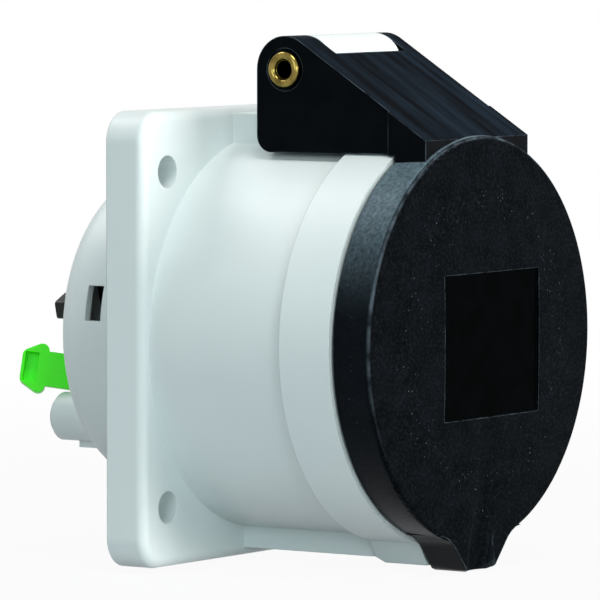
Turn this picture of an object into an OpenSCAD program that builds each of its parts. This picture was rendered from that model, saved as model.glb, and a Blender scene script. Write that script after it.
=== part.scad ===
// Flanged panel socket, four poles, with a sprung lid and lever terminals behind.
// Each piece is drawn lying on its back: x to the right, y up, z forward out of
// the mouth, with z = 0 on the back face of the flange. upright() then stands it,
// so that the mouth looks along -Y and +Z is up.

/* [Flange] */
// Width of the flange
flange_w = 75; // [72:0.5:84]
// Thickness of the flange
flange_t = 8; // [7.5:0.5:9]
// Radius of the flange corners
flange_corner_r = 5.5; // [4:0.5:7]
// Rounding of the front edge of the flange
flange_edge_r = 1.8; // [1:0.1:2.2]
// Distance between fixing holes, both ways
hole_pitch = 60; // [58:0.5:62]
// Radius of the fixing holes
hole_r = 2.9; // [2.2:0.1:3.1]

/* [Collar] */
// Outer radius of the front ring, which the collar and the lid follow
ring_r = 36.9; // [36.5:0.1:37.1]
// How far the front ring stands out from the collar
ring_step = 1.2; // [0.9:0.1:1.5]
// How far the flange reaches past the front ring, above and below
flange_over = 3.85; // [3.6:0.05:7]
// From the outside of the front ring in to the plug space
ring_wall = 3.7; // [3.5:0.1:4]
// Distance from the flange's back face to the seam with the front ring
seam_z = 36.6; // [35:0.2:37.5]
// Distance from the flange's back face to the front of the ring
ring_front_z = 47.2; // [46.6:0.1:47.4]
// Half width of the keyway rib under the collar
rib_half_w = 6; // [5.4:0.1:6.4]
// How far the rib reaches below the front ring's radius
rib_drop = 2.3; // [1.9:0.1:2.7]

/* [Lid] */
// How far the lid's face lies inside the front ring's radius
lid_inset = 0.4; // [0.1:0.1:0.6]
// Draft of the lid's side, from its rear edge to its face
lid_draft = 0.3; // [0.1:0.1:0.5]
// Distance from the flange's back face to the middle of the lid's face
lid_face_z = 56.5; // [56:0.1:57]
// How far the middle of the lid's face stands proud of its rim
lid_crown = 1.2; // [0.8:0.1:1.4]
// Width of the square-cornered recess in the lid's face
panel_w = 31.2; // [26:0.2:32]
// Height of the recess
panel_h = 25.8; // [22:0.2:27]
// Depth of the recess
panel_depth = 0.8; // [0.4:0.1:1.2]
// Half width of the hinge arm
arm_half_w = 16.3; // [16.1:0.1:16.6]

/* [Hinge] */
// Height of the hinge pin over the front ring's radius
pin_rise = 11.2; // [11:0.1:11.5]
// Distance from the flange's back face to the hinge pin
pin_z = 23.9; // [23.6:0.1:24.4]
// Radius of the hinge barrel
barrel_r = 6; // [5.9:0.05:6.1]
// Radius of the hinge pin's shank
pin_r = 2.4; // [2.2:0.05:2.5]
// Radius of the hole through the hinge pin
pin_hole_r = 1.65; // [1.2:0.05:1.7]

/* [Contacts] */
// Radius of the circle that the contacts stand on
pitch_r = 15.5; // [15:0.1:16]
// Radius of the insulating insert
insert_r = 26; // [25.6:0.1:26.4]
// Front face of the insert
insert_front_z = 42; // [41:0.2:43]
// Radius of a phase pin
phase_pin_r = 3; // [2.8:0.05:3.1]
// Radius of the earth pin
earth_pin_r = 4; // [3.8:0.05:4.1]

/* [Rear] */
// Outer radius of the rear body
rear_r = 29; // [28.8:0.05:29.05]
// Distance from the flange's back face to the rear face of the rear body
rear_depth = 18.2; // [17.8:0.1:18.6]
// Length of a phase lever from its pivot to its tip
lever_len = 10.4; // [9.8:0.1:10.8]
// Length of the earth lever from its pivot to its tip
earth_lever_len = 15.9; // [15.2:0.1:16.4]
// Angle at which the earth lever stands open
earth_lever_open = 55; // [0:5:55]

/* [Hidden] */

$fn = 96;

grey = [0.87, 0.89, 0.90];
black = [0.07, 0.07, 0.08];
brass = [0.80, 0.62, 0.28];
steel = [0.72, 0.73, 0.75];
green = [0.27, 0.88, 0.16];
rubber = [0.12, 0.12, 0.12];

eps = 0.01;            // reach of a cut past the face it opens
part_gap = 0.3;        // gap between pieces that move against each other
run_fit = 0.05;        // radial clearance of a pin in a hole it turns in

// collar and ring
flange_h = 2 * (ring_r + flange_over);
collar_r = ring_r - ring_step;
mouth_r = ring_r - ring_wall;   // the plug space
rib_depth = ring_r + rib_drop;
web_rear_z = 7;        // rear face of the wall inside the collar
web_front_z = 11.5;    // front face of that wall, the floor of the plug space
web_hole_r = 21.4;
spigot_r = ring_r - 2.2;        // neck that the front ring sits on
spigot_front_z = 44.5;
rear_bore_r = rear_r + 0.2;
keyway_half_w = 4.2;
keyway_depth = rib_depth - 2.4;
lip_r = ring_r - 2.5;  // sealing lip on the ring's face
lip_front_z = ring_front_z + 1.5;
lug_bottom = rib_depth + 1;
lug_half_w = 5.4;
lug_root_half_w = 8.6;
lug_chamfer_z = seam_z + 1.7;
seal_in_r = rear_r + 2.2;
seal_out_r = seal_in_r + 2.6;
seal_t = 1.6;

// lid
lid_r = ring_r - lid_inset;
lid_rear_r = lid_r - lid_draft;
lid_rear_z = ring_front_z + 0.4;
lid_edge_r = 1;
skirt_in_r = lid_rear_r - 1.2;
gasket_in_r = mouth_r - 1;
gasket_t = 2;
gasket_rear_z = lip_front_z + 0.1;
lid_floor_z = gasket_rear_z + gasket_t;
lid_hollow_r = mouth_r - 1.8;
lid_wall = 3;
lid_rim_z = lid_face_z - lid_crown;
crown_reach = lid_r - lid_edge_r - 0.3;
crown_r = (crown_reach * crown_reach + lid_crown * lid_crown) / (2 * lid_crown);
beak_root = lid_r - 0.5;
groove_top = beak_root - 12;    // where the groove over the beak starts
groove_drop = 1.3;     // its depth below the rim at the beak's root
groove_r = 7;
beak_front_z = lid_rim_z - 0.1;
beak_half_w = 8.9;
beak_tip_half_w = 3.4;
beak_bottom = lid_r + 4.6;
fillet_reach = 4.4;    // how far the fillets beside the beak run along the rim
panel_x = 2;
panel_y = -0.7;

// hinge arm, in side view: z forward, y up
pin_y = ring_r + pin_rise;
slope_foot_z = 54.2;
slope_foot_y = lid_r - 0.4;
block_rear_z = 46.2;
block_bottom_y = slope_foot_y - 5.1;
block_proud = 0.5;
cheek_bottom_y = collar_r - 2.4;
cheek_corner_r = 3;
near_cheek_in = -9.9;  // inner faces of the two cheeks
far_cheek_in = 12.9;
roof_t = 2.6;
slot_r = barrel_r + 1.3;        // the arm's slot round the knuckle
knuckle_gap = 0.3;
foot_dz = slope_foot_z - pin_z;
foot_dy = pin_y - slope_foot_y;
foot_reach = sqrt(foot_dz * foot_dz + foot_dy * foot_dy);
slope = atan2(foot_dy, foot_dz) + asin(barrel_r / foot_reach);
post_front_z = pin_z + barrel_r;
post_rear_y = collar_r + 4.1;
post_root_y = mouth_r - 3;
rim_r = 0.8;           // rolled rim of the hinge pin
rim_mid_r = pin_r + 0.1;
rim_seat = 0.7;        // depth of the round seat in the cheek
rim_seat_r = 3.8;

// lid spring
coil_r = 3.9;
wire_r = 0.5;
coil_x0 = -1.5;
coil_turns = 8;
pocket_r = 5;
leg_foot_z = pin_z + 14.1;

// contacts, by clock position seen from the front
insert_rear_z = 3;
sleeve_front_z = insert_front_z - 3;
sleeve_wall = 0.85;
sleeve_gap = 0.3;
sleeve_base_z = 8;
slit_rear_z = 16;
slit_w = 0.8;
ring_z = 33;
ring_w = 2;
ring_sink = 0.3;
tail_r = 2.4;
pole_clock = [300, 30, 120, 210];   // degrees clockwise from the top
earth_pole = 3;
pole_side = [[-1, 1], [1, 1], [1, -1], [-1, -1]];

// terminals: pivot of the lever in the right upper quarter, and its tilt
pivot_x = rear_r - 14;
phase_pivot_y = 6.4;
earth_pivot_y = 8.4;
pivot_z = 2 - rear_depth;
rear_corner_r = 4.6;
rear_side_wall = 1.7;
lever_tilt = 14;
rear_wall = 2.5;
hub_r = 2.6;
hub_half_w = 2.8;
trunnion_r = 1.2;
trunnion_half = 4.9;
slot_half_w = 3.1;
slot_in = -3.9;
slot_out = 3.1;
bracket_out = 5.4;
plate_front = -2.3;    // front of the lever's head, from its pivot
neck_t = 1.7;
neck_root_half_w = 2.8;         // where the neck passes through the slot
neck_root_end = slot_out + 1;
thumb_floor = 0.8;     // what the slot in the head's underside leaves
thumb_rim = 0.6;
// a lever's head: length, half width, half width at the tip, thickness, corner
// radius, and half width of the neck beside it
phase_head = [4.2, 2.3, 1.7, 1.9, 0.7, 1.9];
earth_head = [4.8, 4.5, 3.3, 3, 1.3, 3.2];
entry_x = -8.5;
entry_r = 2.9;
entry_mouth_r = 3.7;
bar_t = 1.2;
bar_half_w = 2.6;
bar_x = -12.6;
strip_t = 0.6;
strip_half_w = 2.3;
loop_r = 2.9;
loop_x = -3.6;
loop_z = 8.6;

// cover screws and their towers
screw_x = 17.9;
screw_y = 15.9;
screw_r = 1.7;
screw_seat_z = -8;
screw_tip_z = 19;
head_r = 3.1;
head_t = 2.2;
tower_r = 4.4;
tower_rear_z = -rear_depth - 6.2;
window_y = 5.75;
window_h = 6.3;
window_z = -9.4;
window_w = 3.4;

// ---------------------------------------------------------------- helpers

// Stands a piece up: its mouth, drawn along +z, then looks along -Y.
module upright() rotate([90, 0, 0]) children();

// A disc or rod along z between two depths.
module rod(r, z0, z1) translate([0, 0, z0]) cylinder(r = r, h = z1 - z0);

// A tube along z between two depths.
module tube(r_in, r_out, z0, z1) difference() {
    rod(r_out, z0, z1);
    rod(r_in, z0 - 1, z1 + 1);
}

// A rod along x through a point given by its y and z.
module cross_rod(r, x0, x1, y, z) translate([x0, y, z]) rotate([0, 90, 0])
    cylinder(r = r, h = x1 - x0);

// Extrudes a side view, drawn as [z, y], from x0 to x1.
module side_view(x0, x1) rotate([0, -90, 0]) translate([0, 0, -x1])
    linear_extrude(x1 - x0) children();

// A box from its two opposite corners.
module box(a, b) translate(a) cube(b - a);

// The place of one pole's contact.
module at_pole(i) translate([pitch_r * sin(pole_clock[i]), pitch_r * cos(pole_clock[i]), 0])
    children();

// Local frame of one pole's terminal: x points outward along the closed lever,
// z forward, with the lever's pivot at the origin.
module at_terminal(i) {
    s = pole_side[i];
    mirror([s[0] < 0 ? 1 : 0, 0, 0]) mirror([0, s[1] < 0 ? 1 : 0, 0])
        translate([pivot_x, pole_pivot_y(i), pivot_z]) rotate([0, 0, -lever_tilt]) children();
}

function pole_pin_r(i) = i == earth_pole ? earth_pin_r : phase_pin_r;
function pole_pivot_y(i) = i == earth_pole ? earth_pivot_y : phase_pivot_y;
function sleeve_r(i) = pole_pin_r(i) + sleeve_wall;
function sleeve_bore_r(i) = sleeve_r(i) + sleeve_gap;

// ---------------------------------------------------------------- housing

// One corner of the flange: a post with its front edge rounded.
module flange_corner() rotate_extrude($fn = 64) union() {
    square([flange_corner_r, flange_t - flange_edge_r]);
    square([flange_corner_r - flange_edge_r, flange_t]);
    translate([flange_corner_r - flange_edge_r, flange_t - flange_edge_r])
        intersection() {
            circle(flange_edge_r, $fn = 32);
            square(flange_edge_r);
        }
}

module flange_plate() hull()
    for (sx = [-1, 1], sy = [-1, 1])
        translate([sx * (flange_w / 2 - flange_corner_r), sy * (flange_h / 2 - flange_corner_r), 0])
            flange_corner();

// Side view of the post that carries the knuckle.
module post_outline() {
    polygon([
        [flange_t - 1, post_root_y], [flange_t - 1, post_rear_y], [pin_z - barrel_r - 1.5, post_rear_y],
        [pin_z - barrel_r, post_rear_y + 1.5], [pin_z - barrel_r, pin_y],
        [post_front_z, pin_y], [post_front_z, post_root_y]
    ]);
    translate([pin_z, pin_y]) circle(barrel_r);
}

// Pocket in the knuckle for the coil, open forward below the arm's roof.
module spring_pocket() {
    x0 = coil_x0 - 1.2;
    x1 = coil_x0 + coil_turns * 2 * wire_r + 1.2;
    cross_rod(pocket_r, x0, x1, pin_y, pin_z);
    box([x0, pin_y - pocket_r - 1.2, pin_z], [x1, pin_y + 0.4, post_front_z + 1]);
    translate([coil_x0, post_rear_y, pin_z - coil_r])
        rotate([-90, 0, 0]) cylinder(r = wire_r + 0.1, h = pin_y - post_rear_y);
}

module flange_housing() color(grey) upright() difference() {
    union() {
        flange_plate();
        rod(collar_r, flange_t - 1, seam_z - part_gap);
        rod(spigot_r, flange_t - 1, spigot_front_z);
        box([-rib_half_w, -rib_depth, flange_t - 1], [rib_half_w, -mouth_r, seam_z - part_gap]);
        side_view(near_cheek_in + knuckle_gap, far_cheek_in - knuckle_gap) post_outline();
    }
    rod(mouth_r, web_front_z, spigot_front_z + 1);
    rod(rear_bore_r, -1, web_rear_z);
    rod(web_hole_r, 0, web_front_z + 1);
    box([-keyway_half_w, -keyway_depth, web_front_z], [keyway_half_w, -insert_r, spigot_front_z + 1]);
    tube(seal_in_r, seal_out_r, -1, seal_t);
    for (sx = [-1, 1], sy = [-1, 1])
        translate([sx * hole_pitch / 2, sy * hole_pitch / 2, 0]) rod(hole_r, -1, flange_t + 1);
    for (s = [-1, 1])
        translate([s * screw_x, s * screw_y, 0]) rod(screw_r + run_fit, 0, web_front_z + 1);
    cross_rod(pin_r, -20, 20, pin_y, pin_z);
    spring_pocket();
}

module front_ring() color(grey) upright() difference() {
    union() {
        rod(ring_r, seam_z, ring_front_z);
        rod(lip_r, seam_z, lip_front_z);
        side_view(-lug_root_half_w, lug_root_half_w) polygon([
            [seam_z, -spigot_r], [seam_z, -rib_depth], [lug_chamfer_z, -lug_bottom],
            [ring_front_z, -lug_bottom], [ring_front_z, -spigot_r]
        ]);
    }
    // slanted flanks of the lug
    for (s = [-1, 1]) mirror([s < 0 ? 1 : 0, 0, 0]) rod_flank();
    rod(spigot_r + run_fit, seam_z - 1, spigot_front_z);
    rod(mouth_r, seam_z - 1, lip_front_z + 1);
    box([-keyway_half_w, -keyway_depth, seam_z - 1], [keyway_half_w, -insert_r, lip_front_z + 1]);
}

// What is cut away beside the lug, so that it narrows downward.
module rod_flank() difference() {
    translate([0, 0, seam_z - 1]) linear_extrude(ring_front_z - seam_z + 2) polygon([
        [lug_half_w, -lug_bottom - 1], [lug_half_w, -lug_bottom],
        [lug_root_half_w, -spigot_r], [lug_root_half_w + 2, -spigot_r],
        [lug_root_half_w + 2, -lug_bottom - 1]
    ]);
    rod(ring_r, seam_z - 2, ring_front_z + 2);
}

module flange_seal() color(rubber) upright() tube(seal_in_r, seal_out_r, 0, seal_t);

// ---------------------------------------------------------------- insert and contacts

module contact_insert() color(black) upright() difference() {
    union() {
        rod(insert_r - 1, web_front_z, insert_front_z);
        rod(insert_r, web_front_z, insert_front_z - 1);
        rod(web_hole_r - run_fit, insert_rear_z, web_front_z + 1);
    }
    for (i = [0:3]) at_pole(i) {
        rod(sleeve_bore_r(i), insert_rear_z - 1, sleeve_front_z);
        rod(pole_pin_r(i) + 0.3, sleeve_front_z - 1, insert_front_z + 1);
        translate([0, 0, insert_front_z - 1])
            cylinder(r1 = pole_pin_r(i) + 0.3, r2 = pole_pin_r(i) + 1.4, h = 1.1);
    }
    for (s = [-1, 1]) translate([s * screw_x, s * screw_y, 0]) {
        rod(screw_r, web_front_z - 1, screw_tip_z + 1);
        rod(tower_r + part_gap, insert_rear_z - 1, web_rear_z + part_gap);
    }
    rod(4.5, insert_front_z - 6, insert_front_z + 1);
}

// Contact tube with resilient fingers and a riveted tail.
module sleeve(i) color(brass) upright() at_pole(i) difference() {
    union() {
        rod(sleeve_bore_r(i), insert_rear_z, sleeve_base_z);
        rod(sleeve_r(i), insert_rear_z, sleeve_front_z);
        rod(tail_r, insert_rear_z - bar_t - 0.5, insert_rear_z + 1);
    }
    rod(pole_pin_r(i) + run_fit, sleeve_base_z, sleeve_front_z + 1);
    tube(sleeve_r(i) - ring_sink, sleeve_r(i) + 1, ring_z, ring_z + ring_w);
    for (a = [0, 90]) rotate(a)
        box([-sleeve_r(i) - 1, -slit_w / 2, slit_rear_z], [sleeve_r(i) + 1, slit_w / 2, sleeve_front_z + 1]);
}

module sleeve_ring(i) color(steel) upright() at_pole(i)
    tube(sleeve_r(i) - ring_sink, sleeve_r(i) + 0.2, ring_z, ring_z + ring_w);

// ---------------------------------------------------------------- terminals

// Where a point of a terminal's local frame lies in the socket's face plane.
function terminal_xy(i, x) = [
    pole_side[i][0] * (pivot_x + x * cos(lever_tilt)),
    pole_side[i][1] * (pole_pivot_y(i) - x * sin(lever_tilt))
];
function pole_xy(i) = [pitch_r * sin(pole_clock[i]), pitch_r * cos(pole_clock[i])];

// Flat strap from a contact's tail to its terminal, and the leg that the
// conductor is pressed against.
module terminal_bar(i) color(brass) upright() difference() {
    p = pole_xy(i);
    q = terminal_xy(i, bar_x + bar_t / 2);
    d = q - p;
    union() {
        translate([p[0], p[1], 0]) rod(bar_half_w + 1.4, insert_rear_z - bar_t, insert_rear_z);
        translate([q[0], q[1], 0]) rod(bar_half_w, insert_rear_z - bar_t, insert_rear_z);
        translate([p[0], p[1], insert_rear_z - bar_t]) rotate(atan2(d[1], d[0]))
            translate([0, -bar_half_w, 0]) cube([norm(d), 2 * bar_half_w, bar_t]);
        at_terminal(i)
            box([bar_x, -bar_half_w, 3.5], [bar_x + bar_t, bar_half_w, insert_rear_z - pivot_z - 0.2]);
    }
    at_pole(i) rod(tail_r, -20, 20);
}

// Bent strip that presses the conductor on the bar: a loop and two legs.
module clamp_outline() {
    sink = 0.05;
    difference() {
        translate([loop_x, loop_z]) circle(loop_r);
        translate([loop_x, loop_z]) circle(loop_r - strip_t);
        translate([loop_x - 9, loop_z - 1.6]) square([9, 2.4]);
    }
    translate([bar_x + bar_t, loop_z + loop_r - strip_t - sink])
        square([loop_x - bar_x - bar_t + 0.8, strip_t]);
    translate([loop_x - 5.6, loop_z - loop_r + sink]) square([6.4, strip_t]);
}

module clamp_spring(i) color(steel) upright() at_terminal(i)
    rotate([90, 0, 0]) translate([0, 0, -strip_half_w]) linear_extrude(2 * strip_half_w)
        clamp_outline();

// Lever, drawn closed, with its pivot at the origin and z forward.
module lever_body(len, head) difference() {
    x0 = len - head[0];
    union() {
        rotate([90, 0, 0]) translate([0, 0, -hub_half_w]) cylinder(r = hub_r, h = 2 * hub_half_w);
        rotate([90, 0, 0]) translate([0, 0, -trunnion_half])
            cylinder(r = trunnion_r, h = 2 * trunnion_half);
        // cam inside the body
        rotate([0, -45, 0]) box([-1.1, -hub_half_w + 0.4, 0], [1.1, hub_half_w - 0.4, 4.2]);
        box([0, -neck_root_half_w, plate_front - neck_t],
            [neck_root_end, neck_root_half_w, plate_front]);
        box([neck_root_end - 0.1, -head[5], plate_front - neck_t], [x0 + 1, head[5], plate_front]);
        box([hub_r + 0.4, -0.8, plate_front - neck_t - 0.5], [x0 + 1, 0.8, plate_front - 1]);
        translate([0, 0, plate_front - head[3]]) linear_extrude(head[3])
            lever_head(x0, len, head[1], head[2], head[4]);
    }
    // slot for a thumb nail, sunk into the underside of the head
    box([len - thumb_rim - head[0] / 2, thumb_rim - head[2], plate_front - head[3] + thumb_floor],
        [len - thumb_rim, head[2] - thumb_rim, plate_front + 1]);
}

// Outline of a lever's head, from its shoulder to its narrower tip, with round
// corners of radius c.
module lever_head(x0, x1, half_w, tip_half_w, c) {
    root = [x0 + c, half_w - c];
    tip = [x1 - c, tip_half_w - c];
    side = tip - root;
    out = [-side[1], side[0]] * (c / norm(side));
    for (s = [-1, 1], p = [root, tip]) translate([p[0], s * p[1]]) circle(c, $fn = 32);
    polygon([
        [x0, root[1]], root + out, tip + out, [x1, tip[1]],
        [x1, -tip[1]], [tip[0] + out[0], -tip[1] - out[1]],
        [root[0] + out[0], -root[1] - out[1]], [x0, -root[1]]
    ]);
}

module lever(i) color(i == earth_pole ? green : black) upright() at_terminal(i)
    if (i == earth_pole) rotate([0, earth_lever_open, 0]) lever_body(earth_lever_len, earth_head);
    else lever_body(lever_len, phase_head);

// ---------------------------------------------------------------- rear body

module rear_shell() rotate_extrude() {
    square_to(rear_r - rear_corner_r, -rear_depth, web_rear_z);
    square_to(rear_r, -rear_depth + rear_corner_r, web_rear_z);
    translate([rear_r - rear_corner_r, -rear_depth + rear_corner_r]) intersection() {
        circle(rear_corner_r);
        translate([0, -rear_corner_r]) square(rear_corner_r);
    }
}

// A rectangle from the axis out to r, between two depths.
module square_to(r, z0, z1) translate([0, z0]) square([r, z1 - z0]);

// Ears inside the rear wall that hold a lever's trunnions.
module lever_ears() for (s = [-1, 1]) mirror([0, s < 0 ? 1 : 0, 0])
    box([-3, slot_half_w, -2 - eps], [3, bracket_out, 3]);

module lever_cuts() {
    box([slot_in, -slot_half_w, -3], [slot_out, slot_half_w, 3.2]);
    rotate([90, 0, 0]) translate([0, 0, -trunnion_half - 0.1])
        cylinder(r = trunnion_r + run_fit, h = 2 * trunnion_half + 0.2);
    translate([entry_x, 0, -3]) cylinder(r = entry_r, h = 4);
    translate([entry_x, 0, -2 - eps]) cylinder(r1 = entry_mouth_r, r2 = entry_r, h = 1.2);
}

// Tower of the right upper cover screw, with its foot on the rear wall.
module screw_tower() {
    rod(tower_r, tower_rear_z + 0.8, web_rear_z);
    rod(tower_r - 0.8, tower_rear_z, web_rear_z);
    box([-5, 0, -rear_depth - 2.2], [0, tower_r + 1.2, -rear_depth + 3]);
}

module rear_body() color(grey) upright() difference() {
    union() {
        difference() {
            rear_shell();
            rod(rear_r - rear_side_wall, -rear_depth + rear_wall, web_rear_z + 1);
        }
        for (i = [0:3]) at_terminal(i) lever_ears();
        for (turn = [0, 180]) rotate(turn) translate([screw_x, screw_y, 0]) screw_tower();
    }
    for (i = [0:3]) at_terminal(i) lever_cuts();
    for (s = [-1, 1]) translate([s * screw_x, s * screw_y, 0]) {
        rod(screw_r + run_fit, tower_rear_z - 1, web_rear_z + 1);
        rod(head_r + 0.3, tower_rear_z - 1, screw_seat_z);
    }
    // latch windows in the side wall
    for (s = [-1, 1])
        box([s < 0 ? -rear_r - 1 : rear_r - 5, window_y - window_h / 2, window_z - window_w / 2],
            [s < 0 ? -rear_r + 5 : rear_r + 1, window_y + window_h / 2, window_z + window_w / 2]);
}

module cover_screws() color(steel) upright()
    for (s = [-1, 1]) translate([s * screw_x, s * screw_y, 0]) difference() {
        union() {
            rod(screw_r, screw_seat_z - 1, screw_tip_z);
            rod(head_r, screw_seat_z - head_t, screw_seat_z);
        }
        for (a = [0, 90]) rotate(a) box([-1.9, -0.4, screw_seat_z - head_t - 1], [1.9, 0.4, screw_seat_z - head_t + 1.2]);
    }

// ---------------------------------------------------------------- lid

module lid_disc() rotate_extrude() difference() {
    union() {
        polygon([
            [0, lid_rear_z], [lid_rear_r, lid_rear_z], [lid_r, lid_rim_z - lid_edge_r],
            [lid_r - lid_edge_r, lid_rim_z], [0, lid_rim_z]
        ]);
        translate([lid_r - lid_edge_r, lid_rim_z - lid_edge_r]) intersection() {
            circle(lid_edge_r, $fn = 48);
            square(lid_edge_r);
        }
        // crown of the face
        intersection() {
            translate([0, lid_face_z - crown_r]) circle(crown_r, $fn = 2400);
            translate([0, lid_rim_z - lid_edge_r]) square([crown_reach + 0.1, lid_crown + lid_edge_r + 1]);
        }
    }
    translate([0, lid_rear_z - 1]) square([skirt_in_r, lid_floor_z - lid_rear_z + 1]);
    translate([0, lid_rear_z - 1]) square([lid_hollow_r, lid_face_z - lid_wall - lid_rear_z + 1]);
}

// Half of the beak's outline: flank, then the fillet that runs out along the rim.
function beak_half() = [
    [beak_tip_half_w, -beak_bottom], [4.5, -beak_bottom + 0.4], [5.3, -beak_bottom + 1.3],
    [beak_half_w - 0.8, 0.9 - beak_root - 1.6], [beak_half_w, 0.9 - beak_root - 0.7],
    [beak_half_w + 1.2, 1.5 - beak_root - 0.4], [beak_half_w + 2.6, 1.5 - beak_root + 0.3],
    [beak_half_w + fillet_reach, -rim_y(beak_half_w + fillet_reach) + 0.1]
];
function rim_y(x) = sqrt(lid_r * lid_r - x * x);
function mirrored(points) = [for (k = [len(points) - 1:-1:0]) [-points[k][0], points[k][1]]];

// Beak that a thumb lifts the lid by.
module beak() translate([0, 0, lid_rear_z]) linear_extrude(beak_front_z - lid_rear_z)
    difference() {
        polygon(concat(beak_half(), mirrored(beak_half())));
        circle(skirt_in_r);
    }

// Height of the crowned face at a distance from its middle.
function face_z(r) = lid_face_z - r * r / (2 * crown_r);

// Shallow round-bottomed groove from the face down over the beak.
module face_groove() {
    fall = face_z(groove_top) - lid_rim_z + groove_drop;
    translate([0, -groove_top, face_z(groove_top)])
        rotate([90 + atan2(fall, beak_root - groove_top), 0, 0])
            translate([0, groove_r, -1]) cylinder(r = groove_r, h = lid_r, $fn = 128);
}

// Side view of the hinge arm, drawn as [z, y].
module arm_outline(rear_z) {
    tz = pin_z + barrel_r * sin(slope);
    ty = pin_y + barrel_r * cos(slope);
    difference() {
        union() {
            translate([pin_z, pin_y]) circle(barrel_r);
            translate([pin_z - barrel_r + cheek_corner_r, cheek_bottom_y + cheek_corner_r])
                circle(cheek_corner_r);
            polygon([
                [pin_z - barrel_r, pin_y], [pin_z, pin_y], [tz, ty], [slope_foot_z, slope_foot_y],
                [slope_foot_z, block_bottom_y], [block_rear_z, block_bottom_y],
                [block_rear_z, cheek_bottom_y], [pin_z - barrel_r + cheek_corner_r, cheek_bottom_y],
                [pin_z - barrel_r, cheek_bottom_y + cheek_corner_r]
            ]);
        }
        translate([-1, 0]) square([rear_z + 1, 70]);
    }
}

// Room that the housing's post and the coil take inside the arm.
module arm_hollow() side_view(near_cheek_in, far_cheek_in) {
    drop = roof_t / cos(slope);
    front = lid_rear_z - 2;
    hollow_y0 = block_bottom_y - 4;
    hollow_y1 = pin_y + 12;
    translate([pin_z, pin_y]) circle(slot_r);
    polygon([
        [10, hollow_y0], [10, hollow_y1], [pin_z, hollow_y1], [pin_z, pin_y + (barrel_r - roof_t) / cos(slope)],
        [front, slope_foot_y + (slope_foot_z - front) * tan(slope) - drop], [front, hollow_y0]
    ]);
}

// Room for the collar and the ring: straight below the arm at rest, and the
// round path that the collar takes past the cheeks as the lid swings.
module arm_clearance() {
    rod(collar_r + part_gap, -1, seam_z);
    rod(ring_r + part_gap, seam_z - part_gap, lid_rear_z);
    intersection() {
        translate([0, pin_y, pin_z]) rotate([0, 90, 0]) rotate([0, 0, 90])
            rotate_extrude($fn = 96) difference() {
                translate([pin_y, 0]) circle(collar_r + part_gap);
                translate([-200, -100]) square([200, 200]);
            }
        box([-20, 20, -20], [20, pin_y, pin_z]);
    }
}

module lid() color(black) upright() difference() {
    union() {
        difference() {
            union() {
                lid_disc();
                beak();
            }
            face_groove();
        }
        difference() {
            union() {
                side_view(-arm_half_w, arm_half_w) arm_outline(0);
                side_view(-arm_half_w - block_proud, arm_half_w + block_proud) arm_outline(block_rear_z);
            }
            rod(skirt_in_r, lid_rear_z - eps, lid_floor_z);
            rod(lid_hollow_r, lid_rear_z - eps, lid_face_z - lid_wall);
            arm_hollow();
            arm_clearance();
        }
    }
    cross_rod(pin_r + run_fit, -20, 20, pin_y, pin_z);
    cross_rod(rim_seat_r, -20, -arm_half_w + rim_seat, pin_y, pin_z);
    cross_rod(rim_seat_r, arm_half_w - rim_seat, 20, pin_y, pin_z);
    box([panel_x - panel_w / 2, panel_y - panel_h / 2, lid_face_z - panel_depth],
        [panel_x + panel_w / 2, panel_y + panel_h / 2, lid_face_z + 1]);
}

module lid_gasket() color(rubber) upright()
    tube(gasket_in_r, skirt_in_r, gasket_rear_z, lid_floor_z);

// Brass tube with both ends rolled over.
module hinge_pin() color(brass) upright() difference() {
    rim_x = arm_half_w - rim_seat + run_fit + rim_r;
    union() {
        cross_rod(pin_r, -rim_x, rim_x, pin_y, pin_z);
        for (s = [-1, 1]) translate([s * rim_x, pin_y, pin_z]) rotate([0, 90, 0])
            rotate_extrude() translate([rim_mid_r, 0]) circle(rim_r, $fn = 48);
    }
    cross_rod(pin_hole_r, -2 * arm_half_w, 2 * arm_half_w, pin_y, pin_z);
}

// Wound spring as it sits round the pin: close turns and two legs.
module lid_spring() color(steel) upright() {
    x1 = coil_x0 + (coil_turns - 1) * 2 * wire_r;
    translate([coil_x0, pin_y, pin_z]) rotate([0, 90, 0]) rotate_extrude()
        for (k = [0:coil_turns - 1]) translate([coil_r, k * 2 * wire_r]) {
            circle(wire_r, $fn = 24);
            if (k > 0) translate([-wire_r * 0.6, -wire_r * 1.5]) square([wire_r * 1.2, wire_r * 1.5]);
        }
    translate([coil_x0, pin_y, pin_z - coil_r]) rotate([90, 0, 0]) cylinder(r = wire_r, h = pin_y - post_rear_y - 0.5, $fn = 24);
    leg_y = slope_foot_y + (slope_foot_z - leg_foot_z) * tan(slope) - roof_t / cos(slope) - wire_r - 0.1;
    rise = (pin_y - coil_r) - leg_y;
    run = leg_foot_z - pin_z;
    translate([x1, pin_y - coil_r, pin_z]) rotate([atan2(rise, run), 0, 0])
        cylinder(r = wire_r, h = sqrt(rise * rise + run * run), $fn = 24);
}

flange_housing();
front_ring();
contact_insert();
rear_body();
cover_screws();
flange_seal();
lid();
lid_gasket();
hinge_pin();
lid_spring();
sleeve(0);  // phase_sleeve_1
sleeve(1);  // phase_sleeve_2
sleeve(2);  // phase_sleeve_3
sleeve(3);  // earth_sleeve
sleeve_ring(0);  // sleeve_ring_1
sleeve_ring(1);  // sleeve_ring_2
sleeve_ring(2);  // sleeve_ring_3
sleeve_ring(3);  // earth_sleeve_ring
terminal_bar(0);  // terminal_bar_1
terminal_bar(1);  // terminal_bar_2
terminal_bar(2);  // terminal_bar_3
terminal_bar(3);  // earth_terminal_bar
clamp_spring(0);  // clamp_spring_1
clamp_spring(1);  // clamp_spring_2
clamp_spring(2);  // clamp_spring_3
clamp_spring(3);  // earth_clamp_spring
lever(0);  // lever_1
lever(1);  // lever_2
lever(2);  // lever_3
lever(earth_pole);  // earth_lever
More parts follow.
